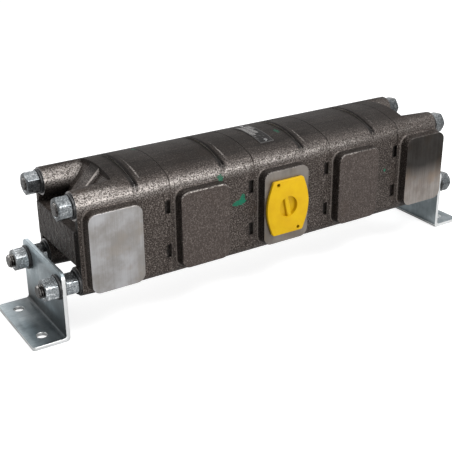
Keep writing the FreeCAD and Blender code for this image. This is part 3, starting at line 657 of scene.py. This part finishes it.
def shadeSheet(zinc, colour):
    # painted reflection and shade: the left plate darker towards its bend and its near lower corner, the
    # right upright lighter than its foot, the bends darker, and sheared edges a painted highlight
    look = sheetShade
    cloud = zinc.clouds - 0.5
    upright = zinc.z * look["upSlope"] + zinc.y * look["backSlope"] + cloud * look["uprightClouds"]
    upright = zinc.ease(upright + zinc.span(zinc.z, *look["nearBend"]), *look["upright"])
    foot = abs(zinc.x) + zinc.y * look["footSlope"] + cloud * look["footClouds"]
    foot = zinc.ease(foot, *look["foot"])
    paintedShade = zinc.mix(zinc.span(zinc.z, look["footTop"], look["wallFrom"]), foot, upright)
    left = look["leftBright"] - paintedShade * look["leftPaintedShade"]
    right = zinc.span(zinc.z, *look["right"])
    # painted reflection and shade on both plates
    colour = zinc.shade(colour, zinc.mix(zinc.x < 0, right, left))
    turnedX, turnedZ = abs(zinc.facing("X")), abs(zinc.facing("Z"))
    bend = zinc.ease(turnedX, *look["bendTurn"]) * zinc.ease(turnedZ, *look["bendTurn"])
    # painted shade along the bends
    colour = zinc.shade(colour, 1 - bend * look["bendDark"])
    sheared = zinc.ease(abs(zinc.facing("Y")), *look["shearedTurn"])
    cut = zinc.ease(turnedZ, *look["cutTurn"]) * (zinc.z < look["footTop"] * mm)
    # painted highlight on the sheared edges
    return zinc.blend(sheared.atLeast(cut), colour, look["sheared"])


def zincPlate(name, addShade):
    # speckled zinc, drawn across, then the shade of its own piece
    zinc = Finish(name)
    look = zincLook | zincLook[name]
    specks = zinc.noise(*look["specks"])
    zinc.clouds = zinc.noise(*look["clouds"])
    level = zinc.mix(look["cloudShare"], specks, zinc.clouds)
    colour = zinc.blend(zinc.ease(level, *look["darkLevel"]), look["dark"], look["middle"])
    colour = zinc.blend(zinc.ease(level, *look["brightLevel"]), colour, look["bright"])
    drawn = zinc.ease(zinc.streaks(*look["drawn"]), *look["drawnShade"])
    colour = addShade(zinc, zinc.shade(colour, drawn))
    return zinc.use(Base_Color=colour, Metallic=1.0, Roughness=zinc.ease(zinc.clouds, *look["rough"]),
                    Normal=zinc.bump(specks, look["strength"], look["depth"]))


nutZinc = zincPlate("nutZinc", shadeNuts)
sheetZinc = zincPlate("sheetZinc", shadeSheet)
print("zinc mixed")


# Turned and ground steel, bronze and the rubber of the seals
steelGrain = {
    "lines": (4, 0.62), "clouds": (70.0, 3, 0.6), "cloudShare": 0.4, "level": (0.36, 0.64),
    "smoother": 0.05, "rougher": 0.09, "strength": 0.5,
}
steelLook = {
    "groundSteel": {"dark": (0.36, 0.36, 0.37), "bright": (0.58, 0.58, 0.59), "metal": 1.0, "rough": 0.22,
                    "lines": (900, 260, 260), "depth": 0.01},
    "studSteel": {"dark": (0.010, 0.009, 0.009), "bright": (0.190, 0.182, 0.175), "metal": 1.0,
                  "rough": 0.22, "lines": (420, 420, 420), "depth": 0.05, "tipTurn": (0.75, 0.95),
                  "tipGlintGrain": (850.0, 3, 0.6), "tipShade": (0.48, 0.62, 0.35, 1.9)},
    "blackSteel": {"dark": (0.008, 0.008, 0.008), "bright": (0.045, 0.045, 0.047), "metal": 0.4,
                   "rough": 0.42, "lines": (300, 300, 300), "depth": 0.06},
    "bearingBronze": {"dark": (0.38, 0.24, 0.10), "bright": (0.66, 0.47, 0.22), "metal": 1.0, "rough": 0.28,
                      "lines": (700, 220, 220), "depth": 0.02},
    "sealRubber": {"dark": (0.010, 0.010, 0.010), "bright": (0.030, 0.030, 0.031), "metal": 0.0,
                   "rough": 0.62, "lines": (500, 500, 500), "depth": 0.03},
    "portIron": {"dark": (0.100, 0.092, 0.086), "bright": (0.230, 0.220, 0.210), "metal": 0.9, "rough": 0.32,
                 "lines": (260, 900, 260), "depth": 0.02},
    "rivetSteel": {"dark": (0.10, 0.10, 0.10), "bright": (0.34, 0.34, 0.34), "metal": 1.0, "rough": 0.24,
                   "lines": (800, 800, 800), "depth": 0.02},
}


def turnedMetal(name):
    look, grain = steelLook[name], steelGrain
    metal = Finish(name)
    lines = metal.streaks(look["lines"], *grain["lines"])
    clouds = metal.noise(*grain["clouds"])
    level = metal.ease(metal.mix(grain["cloudShare"], lines, clouds), *grain["level"])
    colour = metal.blend(level, look["dark"], look["bright"])
    if "tipGlintGrain" in look:
        # painted shade and glints on the flat tips: black between a few bright grains
        tip = metal.ease(abs(metal.facing("X")), *look["tipTurn"])
        tipGlints = metal.ease(metal.noise(*look["tipGlintGrain"]), *look["tipShade"])
        colour = metal.shade(colour, metal.mix(tip, 1.0, tipGlints))
    rough = metal.ease(clouds, 0.3, 0.7, look["rough"] - grain["smoother"], look["rough"] + grain["rougher"])
    return metal.use(Base_Color=colour, Metallic=look["metal"], Roughness=rough,
                     Normal=metal.bump(lines, grain["strength"], look["depth"]))


turned = {name: turnedMetal(name) for name in steelLook}


# Printed plate on the arch: dark field, bare rim and blank pale boxes (low y, high y, low x, high x)
plateLook = {
    "ink": (0.012, 0.011, 0.011), "bare": (0.260, 0.252, 0.246), "rim": 0.7, "edge": 0.35,
    "boxes": [(-9.0, 20.0, -7.3, -2.4), (-5.0, 20.0, -1.2, 3.2), (8.0, 22.0, 4.4, 7.0)],
    "wear": (260.0, 4, 0.65), "wearLevel": (0.58, 0.70, 0.0, 0.6), "speckle": ((1500, 520, 100), 3, 0.7),
    "speckleLevel": (0.44, 0.56, 0.25, 1.0), "grain": ((900, 60, 60), 3, 0.6),
    "grainShade": (0.3, 0.7, 0.85, 1.12), "rimShade": (0.2, 0.8, 0.35, 1.0),
    "grainRough": (0.3, 0.7, 0.40, 0.52), "inkRough": 0.6, "bareMetal": 0.5, "inkHeight": 0.4,
    "strength": 0.4, "depth": 0.04, "gloss": 0.14,
}


def printedPlate():
    look = plateLook
    plate = Finish("printedPlate")
    low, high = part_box("nameplate")
    middle = (low + high) / 2
    half = (high - low) / 2 / mm
    across = plate.x - middle.x
    along = plate.y - middle.y

    def box(lowY, highY, lowX, highX):
        edge = look["edge"]
        inside = 1
        for place, start, end in ((along, lowY, highY), (across, lowX, highX)):
            inside = inside * plate.span(place, start - edge, start)
            inside = inside * plate.span(place, end, end + edge, 1.0, 0.0)
        return inside

    field = box(look["rim"] - half.y, half.y - look["rim"], look["rim"] - half.x, half.x - look["rim"])
    pale = box(*look["boxes"][0])
    for corners in look["boxes"][1:]:
        pale = pale.atLeast(box(*corners))
    pale = pale * plate.ease(plate.streaks(*look["speckle"]), *look["speckleLevel"])
    wear = plate.ease(plate.noise(*look["wear"]), *look["wearLevel"])
    ink = field * (1 - pale) * (1 - wear)
    grain = plate.streaks(*look["grain"])
    bare = plate.shade(look["bare"], plate.ease(grain, *look["grainShade"]))
    bare = plate.shade(bare, plate.ease(field, *look["rimShade"]))
    rough = plate.mix(ink, plate.ease(grain, *look["grainRough"]), look["inkRough"])
    return plate.use(Base_Color=plate.blend(ink, bare, look["ink"]), Roughness=rough,
                     Metallic=plate.mix(ink, look["bareMetal"], 0.0), Specular_IOR_Level=look["gloss"],
                     Normal=plate.bump(grain + ink * look["inkHeight"], look["strength"], look["depth"]))


finishOf = {
    "nameplate": printedPlate(), "washers": turned["blackSteel"], "bushings": turned["bearingBronze"],
    "wear": turned["bearingBronze"], "seals": turned["sealRubber"], "screws": turned["rivetSteel"],
}
for name, node in nodes.items():
    if name not in castingNames:
        chosen = [turned["groundSteel"]]
        chosen += [material for word, material in finishOf.items() if word in name]
        dress(node, chosen[-1])
print("small parts finished")


# Threads: a V wound into a helix along X
rodLook = {
    "across": 38.9975, "body": 6.35, "crest": 6.95, "point": 1.5,
    "sharp": 7.12, "root": 5.85, "wide": 2.0, "pitch": 2.0, "steps": 28, "spareTurns": 3,
    "top": {"height": 133.0, "threadFrom": 224.0, "end": 242.25},
    "bottom": {"height": 55.0, "threadFrom": 240.0, "end": 265.75},
}
portLook = {
    "sharp": 9.35, "root": 10.46, "wide": 1.6, "pitch": 1.814, "steps": 40, "spareTurns": 2,
    "from": 38.3, "to": 53.3, "height": 94.0, "across": (-145.25, -47.25, 50.75, 148.75),
}


def windRidge(name, look, start, end, hollow):
    # starts a pitch early, and a hollow one has no inner side
    deep = look["sharp"] - look["root"]
    ridge = startFrom(bpy.ops.mesh.primitive_circle_add, name, vertices=3, radius=1)
    chooseAll(ridge)
    bpy.ops.transform.resize(value=(look["wide"] * mm / math.sqrt(3), deep * mm / 1.5, 1),
                             center_override=(0, 0, 0))
    bpy.ops.transform.translate(value=((start - look["pitch"]) * mm, (look["root"] + deep / 3) * mm, 0))
    if hollow:
        choose(ridge, lambda middle, along: middle.y < look["root"] + 0.1, "EDGE")
        bpy.ops.mesh.delete(type="EDGE")
    onlyThis(ridge)
    winding = ridge.modifiers.new("winding", "SCREW")
    winding.axis = "X"
    winding.screw_offset = look["pitch"] * mm
    winding.iterations = math.ceil((end - start) / look["pitch"]) + look["spareTurns"]
    winding.steps = winding.render_steps = look["steps"]
    winding.use_smooth_shade = False
    bpy.ops.object.modifier_apply(modifier=winding.name)
    return ridge


def trimEnds(piece, start, end):
    # cut square at two places along X, and the cuts closed
    for place, side in ((start, -1), (end, 1)):
        chooseAll(piece)
        bpy.ops.mesh.bisect(plane_co=(place * mm, 0, 0), plane_no=(side, 0, 0), use_fill=True,
                            clear_outer=True, threshold=0.0001 * mm)
    leaveEdit()


def threadedEnd(start, end):
    # flat crests and a pointed outer end
    look = rodLook
    bar = windRidge("threadedEnd", look, start, end, True)
    chooseAll(bar)
    bpy.ops.mesh.remove_doubles(threshold=0.002 * mm)
    bpy.ops.mesh.normals_make_consistent(inside=False)
    trimEnds(bar, start, end + 0.2)
    limit = roundFrom("limit", look["crest"], (start - 1, 0, 0), (end, 0, 0))
    bevelEdges(limit, look["point"], 1, lambda middle, along: at(middle.x, end))
    carve(bar, limit, "INTERSECT")
    return bar


def tieRods(name, place):
    # plain bar with a rolled thread at each end
    look = rodLook
    start, end = place["threadFrom"], place["end"]
    rod = roundFrom(name, look["body"], (-start - 1, 0, 0), (start + 1, 0, 0), sides=48)
    right = threadedEnd(start, end)
    left = copyTo(right, (0, 0, 0), 180, "Z")
    for tip in (right, left):
        carve(rod, tip, "UNION")
    pair = [copyTo(rod, (0, side * look["across"], place["height"])) for side in (-1, 1)]
    bpy.data.objects.remove(rod)
    return joinAll(pair, name)


def portThreads(name):
    # wound along X and turned into the four outlets
    look = portLook
    ridge = windRidge("portThread", look, look["from"], look["to"], False)
    trimEnds(ridge, look["from"], look["to"])
    threads = [copyTo(ridge, (x, 0, look["height"]), 90, "Z") for x in look["across"]]
    bpy.data.objects.remove(ridge)
    return joinAll(threads, name)


for name, place, node in (("topTieRods", "top", "top_tie_rods"),
                          ("bottomTieRods", "bottom", "bottom_tie_rods")):
    fit(tieRods(name, rodLook[place]), turned["studSteel"], "housing", "rod_steel", node)
fit(portThreads("portThreads"), turned["portIron"], "housing", "castings")
print("tie rods and outlets threaded")


# Hexagon nuts: one nut, copied to all twelve places
nutLook = {
    "flats": 21.0, "height": 13.5, "edge": 0.3, "face": 9.9, "crown": 1.2, "wide": 12.3, "bore": 7.05,
    "flare": 0.9, "clear": 0.1, "leftTurn": 30.0, "rightTurn": 55.0, "across": 38.9975,
    "groups": [("coverNuts", 227.25, 133.0, "tall_nuts"), ("spacerNuts", 227.25, 55.0, "hex_spacers"),
               ("bracketNuts", 247.25, 55.0, "bracket_nuts")],
}


def drawEnds(piece, low, high, depth, scale):
    # extrudes both round ends outwards by a depth and scales their rims
    for place, side in ((low, -1), (high, 1)):
        choose(piece, lambda middle, normal: at(middle.x, place) and abs(normal.x) > 0.9)
        bpy.ops.mesh.extrude_region_move(TRANSFORM_OT_translate={"value": (side * depth * mm, 0, 0)})
        bpy.ops.transform.resize(value=(1, scale, scale), center_override=(0, 0, 0),
                                 constraint_axis=(False, True, True))
        leaveEdit()


def hexNut():
    # a hexagon bar cut to a crowned outline, with a flared bore
    look = nutLook
    length, crown, flare = look["height"], look["crown"], look["flare"]
    nut = roundFrom("nut", look["flats"] / math.sqrt(3), (0, 0, 0), (length, 0, 0), sides=6)
    bevelEdges(nut, look["edge"], 2, lambda middle, along: abs(along.x) > 1)
    limit = roundFrom("limit", look["wide"], (crown, 0, 0), (length - crown, 0, 0))
    drawEnds(limit, crown, length - crown, crown, look["face"] / look["wide"])
    carve(nut, limit, "INTERSECT")
    bore = roundFrom("bore", look["bore"], (flare, 0, 0), (length - flare, 0, 0))
    drawEnds(bore, flare, length - flare, flare + look["clear"], (look["bore"] + flare) / look["bore"])
    carve(nut, bore)
    return nut


def nutGroup(nut, name, seat, height):
    # a front and a back nut at each end
    look = nutLook
    group = []
    for side in (-1, 1):
        y = side * look["across"]
        group.append(copyTo(nut, (-seat - look["height"], y, height), look["leftTurn"]))
        group.append(copyTo(nut, (seat, y, height), look["rightTurn"]))
    return joinAll(group, name)


nut = hexNut()
for name, seat, height, node in nutLook["groups"]:
    fit(nutGroup(nut, name, seat, height), nutZinc, "housing", "zinc_nuts", node)
bpy.data.objects.remove(nut)
print("nuts placed")


# Angle brackets: bent sheet with two rod holes and two foot holes
bracketLook = {
    "face": 240.75, "thick": 4.0, "half": 50.0, "top": 72.5, "foot": 38.0, "bend": 3.0, "topCorner": 7.0,
    "footCorner": 3.0, "rodHole": 7.5, "rodY": 38.9975, "rodZ": 55.0, "footHole": 5.5, "footY": 31.0,
    "footX": 262.75, "edge": 0.4,
}


def bracket(name):
    # the right one, drawn in place
    look = bracketLook
    thick, half, top = look["thick"], look["half"], look["top"]
    near, wall, far = look["face"], look["face"] + thick, look["face"] + look["foot"]
    piece = blockFrom(name, (near, -half, 0), (far, half, thick))
    chooseAll(piece)
    bpy.ops.mesh.bisect(plane_co=(wall * mm, 0, 0), plane_no=(1, 0, 0), threshold=0.001 * mm)
    choose(piece, lambda middle, normal: normal.z > 0.9 and middle.x < wall)
    bpy.ops.mesh.extrude_region_move(TRANSFORM_OT_translate={"value": (0, 0, (top - thick) * mm)})
    bevelEdges(piece, look["bend"] + thick, 10,
               lambda middle, along: abs(along.y) > 1 and at(middle.x, near) and at(middle.z, 0))
    bevelEdges(piece, look["bend"], 10,
               lambda middle, along: abs(along.y) > 1 and at(middle.x, wall) and at(middle.z, thick))
    bevelEdges(piece, look["topCorner"], 10,
               lambda middle, along: abs(along.x) > 1 and at(middle.z, top) and at(abs(middle.y), half))
    bevelEdges(piece, look["footCorner"], 6, lambda middle, along: abs(along.z) > 1 and at(middle.x, far))
    for side in (-1, 1):
        y = side * look["rodY"]
        carve(piece, roundFrom("hole", look["rodHole"], (near - 1, y, look["rodZ"]),
                               (wall + 1, y, look["rodZ"])))
        y = side * look["footY"]
        carve(piece, roundFrom("hole", look["footHole"], (look["footX"], y, -1),
                               (look["footX"], y, thick + 1), "Z"))
    soften(piece, look["edge"], 2, 40)
    return piece


rightBracket = bracket("rightBracket")
leftBracket = copyTo(rightBracket, (0, 0, 0), 180, "Z")
leftBracket.name = leftBracket.data.name = "leftBracket"
fit(rightBracket, sheetZinc, "housing", "zinc_sheet", "right_bracket", angle=35)
fit(leftBracket, sheetZinc, "housing", "zinc_sheet", "left_bracket", angle=35)
print("brackets bent and drilled")


# Transport plug: moulded flange with a finger recess, and a hollow spigot behind it
plugLook = {
    "centreX": 4.75, "centreZ": 89.0, "padFace": -62.697, "thick": 3.5, "halfWidth": 26.5, "endHalf": 19.0,
    "halfHeight": 30.3, "sideHalf": 9.5, "bulge": 9.0, "corner": 2.2, "edge": 0.7,
    "spigot": 12.0, "tip": -48.7, "tipRound": 1.2, "rib": 12.4, "ribWide": 1.4, "ribRound": 0.35,
    "ribsAt": (3.0, 7.5), "core": 9.7, "coreDepth": 10.0, "well": 11.3, "wellDepth": 4.2,
    "bar": 5.4, "barDrop": 0.9, "barRound": 1.3, "barTurn": 12.0, "barReach": 0.3, "barSink": 0.5,
    "pinHole": 2.0, "pinX": 13.1, "pinZ": 26.2,
    "yellow": (0.525, 0.308, 0.001), "pale": (0.565, 0.350, 0.001), "dirt": (0.200, 0.120, 0.020),
    "clouds": (60.0, 3, 0.55), "paleLevel": (0.3, 0.7), "scuffs": ((160, 160, 520), 4, 0.6, (0, 0.5, 0)),
    "scuffLevel": (0.63, 0.74, 0.0, 0.10), "hollow": (11.2, 11.9, 0.12, 0.0), "hollowY": (-65.6, -64.0),
    "pebble": (1500.0, 2, 0.5), "strength": 0.25, "depth": 0.05, "gloss": 0.2,
    "rough": (0.3, 0.7, 0.36, 0.46),
}


def plugYellow():
    # moulded yellow, pebbled, with faint scuffs, and darker deeper in the recess
    look = plugLook
    plastic = Finish("plugYellow")
    clouds = plastic.noise(*look["clouds"])
    colour = plastic.blend(plastic.ease(clouds, *look["paleLevel"]), look["yellow"], look["pale"])
    scuffs = plastic.ease(plastic.streaks(*look["scuffs"]), *look["scuffLevel"])
    colour = plastic.blend(scuffs, colour, look["dirt"])
    centre = (look["centreX"] * mm, look["padFace"] * mm, look["centreZ"] * mm)
    away = plastic.vectors("DISTANCE", plastic.coords, centre, "Value")
    hollow = plastic.span(away, *look["hollow"]) * plastic.span(plastic.y, *look["hollowY"])
    pebble = plastic.bump(plastic.noise(*look["pebble"]), look["strength"], look["depth"])
    return plastic.use(Base_Color=plastic.blend(hollow, colour, look["dirt"]), Normal=pebble,
                       Roughness=plastic.ease(clouds, *look["rough"]), Specular_IOR_Level=look["gloss"])


def plugFlange(name, back, front):
    # a block with its corners sawn off, its sides bulged and its edges rounded
    look = plugLook
    x, z, halfWidth, halfHeight = look["centreX"], look["centreZ"], look["halfWidth"], look["halfHeight"]
    flange = blockFrom(name, (x - halfWidth, front, z - halfHeight), (x + halfWidth, back, z + halfHeight))
    slope = Vector((halfHeight - look["sideHalf"], 0, halfWidth - look["endHalf"])).normalized()
    for sideX in (-1, 1):
        for sideZ in (-1, 1):
            corner = ((x + sideX * halfWidth) * mm, 0, (z + sideZ * look["sideHalf"]) * mm)
            chooseAll(flange)
            bpy.ops.mesh.bisect(plane_co=corner, plane_no=(sideX * slope.x, 0, sideZ * slope.z),
                                use_fill=True, clear_outer=True, threshold=0.001 * mm)
    bevelEdges(flange, look["bulge"], 8,
               lambda middle, along: abs(along.y) > 1 and at(abs(middle.x - x), halfWidth))
    bevelEdges(flange, look["corner"], 5,
               lambda middle, along: abs(along.y) > 1 and at(abs(middle.z - z), halfHeight))
    soften(flange, look["edge"], 3, 50)
    return flange


def plugSpigot(back):
    # goes into the inlet and has two sealing ribs
    look = plugLook
    x, z, tip = look["centreX"], look["centreZ"], look["tip"]
    spigot = roundFrom("spigot", look["spigot"], (x, back - 1, z), (x, tip, z), "Y")
    bevelEdges(spigot, look["tipRound"], 3, lambda middle, along: at(middle.y, tip))
    for place in look["ribsAt"]:
        start = back + place
        rib = roundFrom("rib", look["rib"], (x, start, z), (x, start + look["ribWide"], z), "Y")
        soften(rib, look["ribRound"], 2, 50)
        carve(spigot, rib, "UNION")
    return spigot


def plugGrip(front, floorY):
    # the slanted bar across the recess
    look = plugLook
    x, z, face = look["centreX"], look["centreZ"], front + look["barDrop"]
    reach = look["well"] + look["barReach"]
    grip = blockFrom("grip", (x - look["bar"] / 2, face, z - reach),
                     (x + look["bar"] / 2, floorY + look["barSink"], z + reach))
    bevelEdges(grip, look["barRound"], 4, lambda middle, along: abs(along.z) > 1 and at(middle.y, face))
    chooseAll(grip)
    bpy.ops.transform.rotate(value=math.radians(look["barTurn"]), orient_axis="Y",
                             center_override=(x * mm, front * mm, z * mm))
    leaveEdit()
    return grip


def transportPlug(name):
    look = plugLook
    x, z, tip = look["centreX"], look["centreZ"], look["tip"]
    back, front = look["padFace"], look["padFace"] - look["thick"]
    floorY = front + look["wellDepth"]
    plug = plugFlange(name, back, front)
    carve(plug, plugSpigot(back), "UNION")
    carve(plug, roundFrom("well", look["well"], (x, front - 1, z), (x, floorY, z), "Y"))
    carve(plug, roundFrom("core", look["core"], (x, tip - look["coreDepth"], z), (x, tip + 1, z), "Y"))
    carve(plug, plugGrip(front, floorY), "UNION")
    for side in (-1, 1):
        pinX, pinZ = x - side * look["pinX"], z + side * look["pinZ"]
        carve(plug, roundFrom("pin", look["pinHole"], (pinX, front - 1, pinZ),
                              (pinX, back + 1, pinZ), "Y", 32))
    return plug


fit(transportPlug("transportPlug"), plugYellow(), "plug", "yellow_plastic", "inlet_plug", angle=35)
print("plug moulded")


# Camera
cameraSetup = {"place": (-0.50762, -0.75380, 0.44944), "turn": -32.305, "tilt": 65.912, "roll": -0.5,
               "lens": 70.67, "sensor": 36.0, "nearest": 0.05}
cameraData = bpy.data.cameras.new("photoCamera")
cameraData.lens = cameraSetup["lens"]
cameraData.sensor_width = cameraSetup["sensor"]
cameraData.clip_start = cameraSetup["nearest"]
camera = bpy.data.objects.new("photoCamera", cameraData)
bpy.context.scene.collection.objects.link(camera)
place = Matrix.Translation(cameraSetup["place"])
for angle, axis in (("turn", "Z"), ("tilt", "X"), ("roll", "Z")):
    place = place @ Matrix.Rotation(math.radians(cameraSetup[angle]), 4, axis)
camera.matrix_world = place
bpy.context.scene.camera = camera

# Lamps, turned to the object's middle
lampSetup = {
    "keyLamp": {"place": (0.42, -0.48, 1.15), "size": (1.0, 0.62), "power": 14},
    "frontLamp": {"place": (0.1, -1.9, 0.55), "size": (1.2, 0.7), "power": 22},
    "backLamp": {"place": (-1.3, 1.2, 0.8), "size": (1.2, 0.8), "power": 9},
}
lampTarget = Vector((0, 0, 0.08))
for name, lamp in lampSetup.items():
    data = bpy.data.lights.new(name, "AREA")
    data.shape = "RECTANGLE"
    data.size, data.size_y = lamp["size"]
    data.energy = lamp["power"]
    light = bpy.data.objects.new(name, data)
    light.location = lamp["place"]
    light.rotation_euler = (lampTarget - light.location).to_track_quat("-Z", "Y").to_euler()
    bpy.context.scene.collection.objects.link(light)

# World: soft light, and white to the camera, gloss and glass
worldSetup = {"light": 0.36, "backdrop": 1.0}
world = bpy.data.worlds.new("studio")
bpy.context.scene.world = world
world.use_nodes = True
studio = Nodes(world.node_tree)
background = world.node_tree.nodes["Background"]
ray = studio.node("ShaderNodeLightPath", out="Is Camera Ray")
seen = ray.atLeast(ray.out("Is Glossy Ray").atLeast(ray.out("Is Transmission Ray")))
studio.plug((1, 1, 1, 1), background.inputs["Color"])
studio.plug(studio.mix(seen, worldSetup["light"], worldSetup["backdrop"]), background.inputs["Strength"])

# Floor: pale paper that glows a little for the camera alone
floorSetup = {"size": 6.0, "height": -0.0002, "tone": (0.62, 0.62, 0.62), "rough": 0.9, "gloss": 0.1,
              "glow": 0.74}
floor = startFrom(bpy.ops.mesh.primitive_plane_add, "floor", size=floorSetup["size"],
                  location=(0, 0, floorSetup["height"]))
paper = Finish("floorPaper")
ray = paper.node("ShaderNodeLightPath", out="Is Camera Ray")
glow = paper.node("ShaderNodeCombineColor", {}, {"Red": ray, "Green": ray, "Blue": ray})
dress(floor, paper.use(Base_Color=floorSetup["tone"], Roughness=floorSetup["rough"],
                       Specular_IOR_Level=floorSetup["gloss"], Emission_Color=glow,
                       Emission_Strength=floorSetup["glow"]))

bpy.context.scene.view_settings.view_transform = "Standard"
print("camera, lamps and floor placed")
